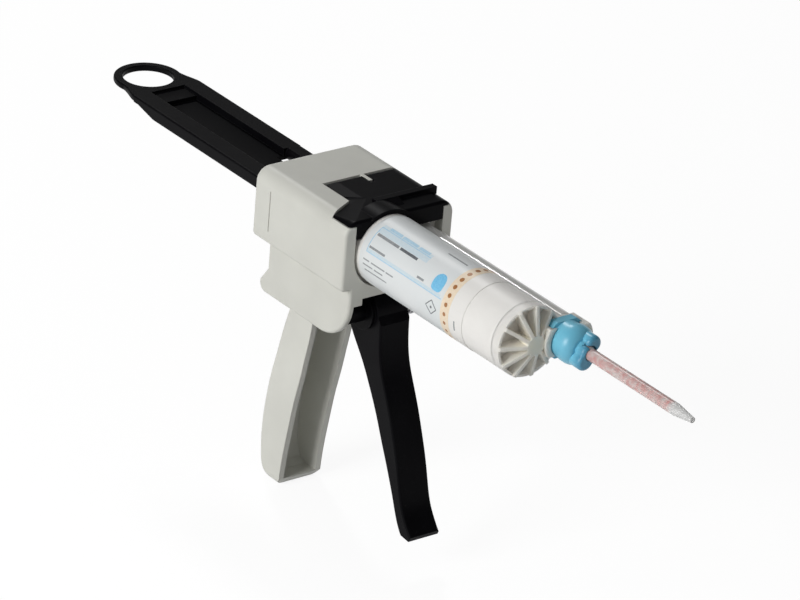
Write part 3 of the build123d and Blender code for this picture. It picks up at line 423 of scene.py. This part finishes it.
def spread(mat, fac, low, high):
    """A factor of 0 to 1 stretched between two values."""
    node = mat.node_tree.nodes.new("ShaderNodeMapRange")
    node.inputs["To Min"].default_value = low
    node.inputs["To Max"].default_value = high
    mat.node_tree.links.new(fac, node.inputs["Value"])
    return node.outputs[0]


def blended(mat, fac, a, b):
    """One colour mixed into another by a factor."""
    node = mat.node_tree.nodes.new("ShaderNodeMix")
    node.data_type = "RGBA"
    links = mat.node_tree.links
    links.new(fac, node.inputs["Factor"])
    for value, name in ((a, "A"), (b, "B")):
        socket = next(i for i in node.inputs if i.name == name and i.type == "RGBA")
        if isinstance(value, tuple):
            socket.default_value = value
        else:
            links.new(value, socket)
    return next(o for o in node.outputs if o.type == "RGBA")


def soft_edges(mat, radius):
    """The normal of slightly rounded edges, and a factor that is 1 along them."""
    nodes, links = mat.node_tree.nodes, mat.node_tree.links
    bevel = nodes.new("ShaderNodeBevel")
    bevel.samples = EDGE_SAMPLES
    bevel.inputs["Radius"].default_value = radius
    flat = nodes.new("ShaderNodeNewGeometry")
    dot = nodes.new("ShaderNodeVectorMath")
    dot.operation = "DOT_PRODUCT"
    links.new(bevel.outputs[0], dot.inputs[0])
    links.new(flat.outputs["Normal"], dot.inputs[1])
    edge = nodes.new("ShaderNodeMapRange")
    edge.inputs["From Min"].default_value = EDGE_START
    edge.inputs["From Max"].default_value = EDGE_END
    links.new(dot.outputs["Value"], edge.inputs["Value"])
    return bevel.outputs[0], edge.outputs[0]


def turned_into(mat, colour, places, end):
    """A colour that turns into another between two places along the barrels, in millimetres."""
    nodes, links = mat.node_tree.nodes, mat.node_tree.links
    coord = nodes.new("ShaderNodeTexCoord")
    parts = nodes.new("ShaderNodeSeparateXYZ")
    links.new(coord.outputs["Object"], parts.inputs[0])
    node = nodes.new("ShaderNodeMapRange")
    node.inputs["From Min"].default_value = places[0] * MM
    node.inputs["From Max"].default_value = places[1] * MM
    links.new(parts.outputs["X"], node.inputs["Value"])
    return blended(mat, node.outputs[0], colour, end)


def moulded(name, dark, light, rough, grain=GRAIN, bump=0.05, spec=0.5, radius=EDGE_RADIUS,
            edge_wear_and_highlight=None, places=None, end=None):
    """Moulded plastic: a slow colour drift, a fine eroded grain, uneven gloss, and edges
    lightened in patches, partly as wear and partly as painted highlight.
    """
    mat, shader = material(name)
    links = mat.node_tree.links
    colour = ramp(mat, noise(mat, CLOUD), dark, light)
    if places:
        colour = turned_into(mat, colour, places, end)
    normal, edge = soft_edges(mat, radius)
    if edge_wear_and_highlight:
        patchy = mat.node_tree.nodes.new("ShaderNodeMath")
        patchy.operation = "MULTIPLY"
        links.new(edge, patchy.inputs[0])
        links.new(spread(mat, noise(mat, WEAR_AND_HIGHLIGHT_PATCHES), WEAR_AND_HIGHLIGHT_LEAST, WEAR_AND_HIGHLIGHT_MOST), patchy.inputs[1])
        # lighter colour in patches along the edges: partly wear, partly a painted highlight
        colour = blended(mat, patchy.outputs[0], colour, edge_wear_and_highlight)
    links.new(colour, shader.inputs["Base Color"])
    fine = noise(mat, grain, detail=2.0)
    gloss = spread(mat, fine, rough - MOULDED_DRIFT, rough + MOULDED_DRIFT)
    links.new(gloss, shader.inputs["Roughness"])
    shader.inputs["Specular IOR Level"].default_value = spec
    node = mat.node_tree.nodes.new("ShaderNodeBump")
    node.inputs["Strength"].default_value = bump
    node.inputs["Distance"].default_value = GRAIN_DEPTH
    links.new(fine, node.inputs["Height"])
    links.new(normal, node.inputs["Normal"])
    links.new(node.outputs[0], shader.inputs["Normal"])
    return mat


def milky(mat, weight, reach):
    """Light that sinks a little way into white or tinted plastic and comes out again."""
    shader = next(n for n in mat.node_tree.nodes if n.type == "BSDF_PRINCIPLED")
    shader.inputs["Subsurface Weight"].default_value = weight
    shader.inputs["Subsurface Radius"].default_value = (1.0, 1.0, 1.0)
    shader.inputs["Subsurface Scale"].default_value = reach
    return mat


def clear(name, dark, light, rough, see, flow=FLOW, detail=2.0, stretch=(0.25, 1, 1), spec=0.5,
          places=None, end=None):
    """See-through or milky plastic with flow marks; a lower see makes it milkier."""
    mat, shader = material(name)
    links = mat.node_tree.links
    marks = noise(mat, flow, detail, stretch)
    colour = ramp(mat, marks, dark, light, low=0.35, high=0.65)
    if places:
        colour = turned_into(mat, colour, places, end)
    links.new(colour, shader.inputs["Base Color"])
    links.new(spread(mat, marks, rough, rough + FLOW_DRIFT), shader.inputs["Roughness"])
    shader.inputs["Transmission Weight"].default_value = see
    shader.inputs["IOR"].default_value = PLASTIC_IOR
    shader.inputs["Specular IOR Level"].default_value = spec
    return mat


def metal(name, dark, light, rough, stretch):
    """Turned or drawn steel with fine lines along or round it."""
    mat, shader = material(name)
    links = mat.node_tree.links
    lines = noise(mat, STEEL_LINES, detail=2.0, stretch=stretch)
    links.new(ramp(mat, lines, dark, light), shader.inputs["Base Color"])
    links.new(spread(mat, lines, rough, rough + STEEL_DRIFT), shader.inputs["Roughness"])
    shader.inputs["Metallic"].default_value = 1.0
    return mat


def ink(name, dark, light):
    """Printed ink: slightly uneven cover over paper."""
    mat, shader = material(name)
    links = mat.node_tree.links
    cover = noise(mat, INK_COVER)
    colour = ramp(mat, cover, dark, light, low=0.35, high=0.65)
    links.new(colour, shader.inputs["Base Color"])
    links.new(spread(mat, cover, INK_ROUGH_LOW, INK_ROUGH_HIGH), shader.inputs["Roughness"])
    return mat


def dress(mat, *names):
    """One material over the whole of each CAD node named."""
    for name in names:
        obj = NODES[name]
        obj.data.materials.clear()
        obj.data.materials.append(mat)
        for poly in obj.data.polygons:
            poly.material_index = 0


def new_object(name, bm, mat, body):
    """A piece made from finished mesh data, riding on a body."""
    mesh = bpy.data.meshes.new(name)
    bm.normal_update()
    bm.to_mesh(mesh)
    bm.free()
    mesh.materials.append(mat)
    obj = bpy.data.objects.new(name, mesh)
    bpy.context.scene.collection.objects.link(obj)
    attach(obj, body)
    return obj


def on_label(x, angle, radius):
    """A point in metres, from its place along the big barrel and its angle round it."""
    a = math.radians(angle)
    return Vector((x, BARREL_Y - radius * math.cos(a), BARREL_Z + radius * math.sin(a))) * MM


def strip(bm, left, right, low=PRINT_LOW, high=PRINT_HIGH):
    """A closed thin patch of ink on the label between two rows of (x, angle) points."""
    rows = []
    for (xa, aa), (xb, ab) in zip(left, right):
        rows.append([bm.verts.new(on_label(xa, aa, high)), bm.verts.new(on_label(xb, ab, high)),
                     bm.verts.new(on_label(xb, ab, low)), bm.verts.new(on_label(xa, aa, low))])
    for r, s in zip(rows, rows[1:]):
        for k in range(4):
            bm.faces.new((r[k], r[(k + 1) % 4], s[(k + 1) % 4], s[k]))
    bm.faces.new(list(reversed(rows[0])))
    bm.faces.new(rows[-1])


def bar(bm, x0, x1, angle, width):
    """A straight printed bar along the barrel, with its width in millimetres."""
    half = math.degrees(width / 2 / LABEL_R)
    strip(bm, [(x0, angle - half), (x1, angle - half)], [(x0, angle + half), (x1, angle + half)])


def hoop(bm, x0, x1, a0, a1, ink_depth=INK):
    """A printed stretch that runs round the barrel, in short steps that follow it."""
    steps = max(2, round(abs(a1 - a0) / HOOP_STEP))
    angles = [a0 + (a1 - a0) * i / steps for i in range(steps + 1)]
    strip(bm, [(x0, a) for a in angles], [(x1, a) for a in angles], high=LABEL_R + ink_depth)


def blot(bm, x, angle, half_x, half_s, power_low=2.0, power_high=2.0, steps=16, cut=0.995,
         low=PRINT_LOW, high=PRINT_HIGH):
    """A rounded printed patch, cut just short of its two ends; a higher power squares an end."""
    reach = math.degrees(half_s / LABEL_R)
    left, right = [], []
    for i in range(steps + 1):
        t = -math.cos(math.pi * i / steps) * cut
        power = power_low if t < 0 else power_high
        w = half_x * (1 - abs(t) ** power) ** (1 / power)
        left.append((x - w, angle + t * reach))
        right.append((x + w, angle + t * reach))
    strip(bm, left, right, low, high)


def slanted(bm, xa, aa, xb, ab, width):
    """A printed line between two points of the label, in short steps that follow it."""
    ds = math.radians(ab - aa) * LABEL_R
    length = math.hypot(xb - xa, ds)
    nx = -ds / length * width / 2
    na = math.degrees((xb - xa) / length * width / 2 / LABEL_R)
    steps = max(2, round(abs(ab - aa) / SLANT_STEP))
    line = [(xa + (xb - xa) * i / steps, aa + (ab - aa) * i / steps) for i in range(steps + 1)]
    strip(bm, [(x + nx, a + na) for x, a in line], [(x - nx, a - na) for x, a in line])


def printed(name, bm, mat):
    """A print that stays on the label."""
    new_object(name, bm, mat, "frame")


def print_panels():
    """Two pale panels, in thinner ink than what is printed over them."""
    bm = bmesh.new()
    hoop(bm, RULE_X, RULE_HIGH_END, TITLE_PANEL_LOW, TITLE_PANEL_HIGH, INK / 2)
    hoop(bm, RULE_X, FOOT_PANEL_END, RULE_LOW, FOOT_PANEL_HIGH, INK / 2)
    printed("label_pale_panels", bm, ink("pale_tint", srgb(205, 221, 229), srgb(213, 227, 234)))


def print_blue_lines():
    """The frame's three lines, the title's bars over it, and lines on the far side."""
    bm = bmesh.new()
    bar(bm, RULE_X, RULE_LOW_END, RULE_LOW, RULE_WIDTH)
    bar(bm, RULE_X, RULE_HIGH_END, RULE_HIGH, RULE_WIDTH)
    hoop(bm, RULE_X - RULE_WIDTH / 2, RULE_X + RULE_WIDTH / 2, RULE_LOW - RULE_CORNER,
         RULE_HIGH + RULE_CORNER)
    for x0, x1 in TITLE_SPANS:
        bar(bm, x0, x1, TITLE_ANGLE, TITLE_WIDTH)
    x0, x1 = FAR_LINE_SPAN
    for row in range(FAR_LINES):
        angle = FAR_LINE_ANGLE + FAR_LINE_PITCH * row
        bar(bm, x0, x1 - FAR_LINE_SHORTER * (row % 2), angle, FAR_LINE_WIDTH)
    printed("label_blue_lines", bm,
            ink("pale_blue_ink", srgb(166, 204, 227), srgb(184, 216, 234)))


def print_patch():
    """The blue patch, squarer at its lower end."""
    bm = bmesh.new()
    blot(bm, PATCH_X, PATCH_ANGLE, PATCH_HALF_X, PATCH_HALF_ROUND, power_low=3.5,
         power_high=2.2)
    printed("label_blue_patch", bm, ink("blue_ink", srgb(112, 190, 232), srgb(134, 204, 240)))


def print_grey_bars():
    """Plain bars where the label has its small print, near side and far side."""
    bm = bmesh.new()
    bar(bm, *HEADING_GREY_SPAN, HEADING_ANGLE, HEADING_WIDTH)
    for x0, x1, angle in FOOT_BARS:
        bar(bm, x0, x1, angle, FOOT_WIDTH)
    for row, spans in enumerate(TEXT_ROWS):
        for x0, x1 in spans:
            bar(bm, x0, x1, TEXT_ANGLE - TEXT_PITCH * row, TEXT_WIDTH)
    bar(bm, *UPPER_SPAN, UPPER_ANGLE, UPPER_WIDTH)
    for row in range(FAR_TEXT_ROWS):
        gap = FAR_TEXT_GAP - row % 3
        end = FAR_TEXT_END - FAR_TEXT_SHORTER * (row % 2)
        for x0, x1 in ((FAR_TEXT_X, gap), (gap + FAR_TEXT_SPACE, FAR_TEXT_MIDDLE),
                       (FAR_TEXT_MIDDLE + FAR_TEXT_SPACE, end)):
            bar(bm, x0, x1, FAR_TEXT_ANGLE + TEXT_PITCH * row, TEXT_WIDTH)
    hoop(bm, *STROKE_SPAN, STROKE_LOW, STROKE_HIGH)
    printed("label_grey_bars", bm, ink("grey_ink", srgb(138, 142, 144), srgb(160, 163, 165)))


def print_dark_marks():
    """The darker stretch of the heading, and a small diamond with a dot in it."""
    bm = bmesh.new()
    bar(bm, *HEADING_DARK_SPAN, HEADING_ANGLE, HEADING_WIDTH)
    corners = ((DIAMOND_X, DIAMOND_ANGLE + DIAMOND_HALF_ANGLE),
               (DIAMOND_X - DIAMOND_HALF_X, DIAMOND_ANGLE),
               (DIAMOND_X, DIAMOND_ANGLE - DIAMOND_HALF_ANGLE),
               (DIAMOND_X + DIAMOND_HALF_X, DIAMOND_ANGLE))
    for (xa, aa), (xb, ab) in zip(corners, corners[1:] + corners[:1]):
        slanted(bm, xa, aa, xb, ab, RULE_WIDTH)
    blot(bm, DIAMOND_X, DIAMOND_ANGLE, DIAMOND_DOT, DIAMOND_DOT)
    printed("label_dark_marks", bm, ink("dark_ink", srgb(92, 97, 102), srgb(116, 120, 124)))


def print_band():
    """The tan band round the label, and the brown dots on it."""
    bm = bmesh.new()
    hoop(bm, BAND_X0, BAND_X1, -BAND_ANGLE, BAND_ANGLE)
    printed("label_tan_band", bm, ink("tan_ink", srgb(238, 218, 190), srgb(243, 227, 204)))
    dots = bmesh.new()
    for i in range(DOT_COUNT):
        angle = DOT_FIRST + DOT_PITCH * i
        up = max(0.0, math.cos(math.radians(angle - DOT_LARGEST_AT)))
        size = DOT_SIZE + DOT_GROWTH * up
        blot(dots, DOT_X, angle, size, size, steps=12, cut=0.98, low=LABEL_R,
             high=LABEL_R + 2 * INK)
    printed("label_dots", dots, ink("brown_ink", srgb(158, 104, 54), srgb(182, 128, 78)))


def closed_sweep(name, rows, loop, mat, body):
    """Skin over rows of points in millimetres, joined into a loop or closed at its two ends."""
    bm = bmesh.new()
    made = [[bm.verts.new(point * MM) for point in row] for row in rows]
    count = len(made[0])
    for r, s in zip(made, made[1:] + made[:1] if loop else made[1:]):
        for k in range(count):
            bm.faces.new((r[k], s[k], s[(k + 1) % count], r[(k + 1) % count]))
    if not loop:
        bm.faces.new(made[0])
        bm.faces.new(list(reversed(made[-1])))
    bmesh.ops.recalc_face_normals(bm, faces=bm.faces)
    obj = new_object(name, bm, mat, body)
    obj.data.polygons.foreach_set("use_smooth", [True] * len(obj.data.polygons))
    obj.data.set_sharp_from_angle(angle=math.radians(SHARP_ANGLE))
    return obj


def round_mixer(x, radius, angle):
    """A point in millimetres, from its place along the mixer and its angle round it."""
    return Vector((x, MIX_Y + radius * math.cos(angle), BARREL_Z + radius * math.sin(angle)))


def add_dome(mat):
    """The collar's round shoulder between its ring and its lobes."""
    profile = [(DOME_X0 - DOME_LAP, DOME_LAP_R)]
    for k in range(DOME_STEPS + 1):
        t = math.radians(90 * k / DOME_STEPS)
        profile.append((DOME_X0 + (DOME_X1 - DOME_X0) * math.sin(t),
                        DOME_R1 + (DOME_R0 - DOME_R1) * math.cos(t)))
    profile += [(DOME_X1, DOME_BORE), (DOME_X0 - DOME_LAP, DOME_BORE)]
    rows = [[round_mixer(x, r, math.radians(360 * i / DOME_SIDES)) for x, r in profile]
            for i in range(DOME_SIDES)]
    closed_sweep("collar_dome", rows, True, mat, "mixer")


def web_reach(angle):
    """Distance from the tube's axis to the outside of the web and the lower lobe."""
    turn = math.radians(angle - LOBE_ANGLE)
    side = LOBE_OFF * math.sin(turn)
    lobe = 0.0
    if math.cos(turn) > 0 and abs(side) < LOBE_R:
        lobe = LOBE_OFF * math.cos(turn) + math.sqrt(LOBE_R ** 2 - side ** 2)
    return (lobe ** WEB_BLEND + WEB_R ** WEB_BLEND) ** (1 / WEB_BLEND)


def add_web(mat):
    """The collar's web, from the lower lobe round the tube's near side to the upper lobe."""
    profile = [(WEB_X0, 0.0), (WEB_X1 - WEB_ROUND, 0.0)]
    for k in range(1, WEB_ROUND_STEPS + 1):
        a = math.radians(90 * k / WEB_ROUND_STEPS)
        profile.append((WEB_X1 - WEB_ROUND * (1 - math.sin(a)), WEB_ROUND * (1 - math.cos(a))))
    rows = []
    for i in range(WEB_STEPS + 1):
        angle = WEB_FIRST + (WEB_LAST - WEB_FIRST) * i / WEB_STEPS
        end = min(i, WEB_STEPS - i) / WEB_END_STEPS
        reach = web_reach(angle) - (WEB_END_DROP * (1 - end) ** 2 if end < 1 else 0.0)
        row = [(x, max(reach - inset, WEB_BORE + WEB_WALL)) for x, inset in profile]
        row += [(WEB_X1, WEB_BORE + WEB_CHAMFER), (WEB_X1 - WEB_CHAMFER, WEB_BORE),
                (WEB_X0, WEB_BORE)]
        rows.append([round_mixer(x, r, math.radians(angle)) for x, r in row])
    closed_sweep("collar_web", rows, False, mat, "mixer")


def add_release_coil(mat):
    """The release lever's spring, a coil of wire swept on the frame in place of the CAD node's
    spring, which is hidden.
    """
    slope = COIL_PITCH / (2 * math.pi * COIL_R)
    sides = [math.radians(360 * k / COIL_SIDES) for k in range(COIL_SIDES)]
    rows = []
    for i in range(COIL_TURNS * COIL_STEPS + 1):
        a = math.radians(360 * i / COIL_STEPS)
        out = Vector((math.cos(a), math.sin(a), 0))
        ahead = Vector((-math.sin(a), math.cos(a), slope)).normalized()
        up = out.cross(ahead)
        middle = Vector((COIL_X, 0, COIL_Z + COIL_PITCH * i / COIL_STEPS)) + COIL_R * out
        rows.append([middle + COIL_WIRE * (math.cos(b) * out + math.sin(b) * up) for b in sides])
    coil = closed_sweep("release_coil", rows, False, mat, "frame")
    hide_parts("release_spring")
    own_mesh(coil)


def dress_shell():
    """Housing, grip, and the black pieces that are seen with them."""
    # the lighter edge colours of the housing and the black pieces are partly wear and partly
    # painted highlight
    dress(moulded("housing_plastic", srgb(207, 207, 199), srgb(215, 215, 207), 0.46, bump=0.06,
                  edge_wear_and_highlight=srgb(222, 222, 216)), "housing")
    # the handle's grey is the housing's made a little lighter: painted light
    dress(moulded("handle_plastic", srgb(213, 213, 205), srgb(221, 221, 213), 0.46, bump=0.06,
                  radius=GRIP_EDGE_RADIUS), "handle")
    dress(moulded("black_plastic", srgb(7, 6, 9), srgb(14, 14, 16), 0.40, spec=0.04,
                  edge_wear_and_highlight=srgb(44, 45, 47)),
          "trigger", "pusher", "cartridge_lock", "release_lever", "base_plunger",
          "catalyst_plunger")


def dress_drive():
    """Carriage, pins, pawl and springs."""
    dress(moulded("drive_plastic", srgb(40, 41, 43), srgb(52, 53, 55), 0.5), "drive_carriage")
    dress(metal("turned_steel", (0.42, 0.42, 0.44, 1), (0.56, 0.56, 0.58, 1), 0.25, (1, 6, 1)),
          "trigger_pin", "lock_pin", "release_pin", "carriage_pin", "pawl_pin", "handle_screws",
          "drive_pawl")
    wire = metal("spring_wire", (0.36, 0.36, 0.38, 1), (0.5, 0.5, 0.52, 1), 0.3, (1, 1, 1))
    dress(wire, "trigger_spring", "pawl_spring")
    add_release_coil(wire)


def dress_cartridge():
    """Both barrels with their pistons, the end plate and the label's paper."""
    dress(moulded("barrel_plastic", srgb(236, 234, 229), srgb(242, 240, 236), 0.44, bump=0.02),
          "base_barrel")
    nose = moulded("nose_plastic", srgb(242, 238, 230), srgb(247, 244, 237), 0.42, bump=0.02,
                   places=NOSE_TO_OUTLET, end=srgb(252, 245, 231))
    dress(milky(nose, weight=0.8, reach=3 * MM), "outlet_nose")
    dress(moulded("piston_plastic", srgb(214, 214, 212), srgb(224, 224, 222), 0.5),
          "base_piston", "catalyst_piston")
    dress(moulded("label_paper", srgb(221, 226, 227), srgb(229, 232, 232), 0.42,
                  grain=PAPER_GRAIN, radius=PAPER_EDGE_RADIUS, places=PAPER_TO_WHITE,
                  end=srgb(238, 236, 232)), "cartridge_label")
    dress(clear("milky_barrel", srgb(233, 233, 230), srgb(241, 241, 238), 0.06, see=0.05,
                spec=0.16), "catalyst_barrel")


def dress_mixer():
    """Milky mixer tube, blue collar with its shoulder and web, and the mixing element."""
    dress(clear("milky_tube", srgb(243, 190, 186), srgb(250, 240, 236), 0.22, see=0.4,
                flow=TUBE_FLOW, detail=3.0, stretch=(1, 1, 1), places=TUBE_TO_TIP,
                end=srgb(253, 253, 252)), "mixer_tube")
    # the collar's blue turns darker towards its lobes: painted shade
    blue = moulded("collar_plastic", srgb(100, 182, 214), srgb(122, 202, 228), 0.32, bump=0.03,
                   places=COLLAR_TO_SHADED_LOBES, end=srgb(84, 158, 190))
    dress(blue, "mixer_collar")
    add_dome(blue)
    add_web(blue)
    dress(moulded("element_plastic", srgb(226, 170, 168), srgb(238, 192, 188), 0.4),
          "mixing_element")


low, high = CAD_BOX
middle = (low + high) / 2
bpy.context.scene.view_settings.view_transform = "Standard"
add_camera()
add_world()
add_lamp("key", KEY_PLACE, KEY_SIZE, KEY_POWER, middle)
add_lamp("top", TOP_PLACE, TOP_SIZE, TOP_POWER, middle)
add_floor(low.z - FLOOR_GAP, middle)
dress_shell()
dress_drive()
dress_cartridge()
dress_mixer()
print_panels()
print_blue_lines()
print_patch()
print_grey_bars()
print_dark_marks()
print_band()
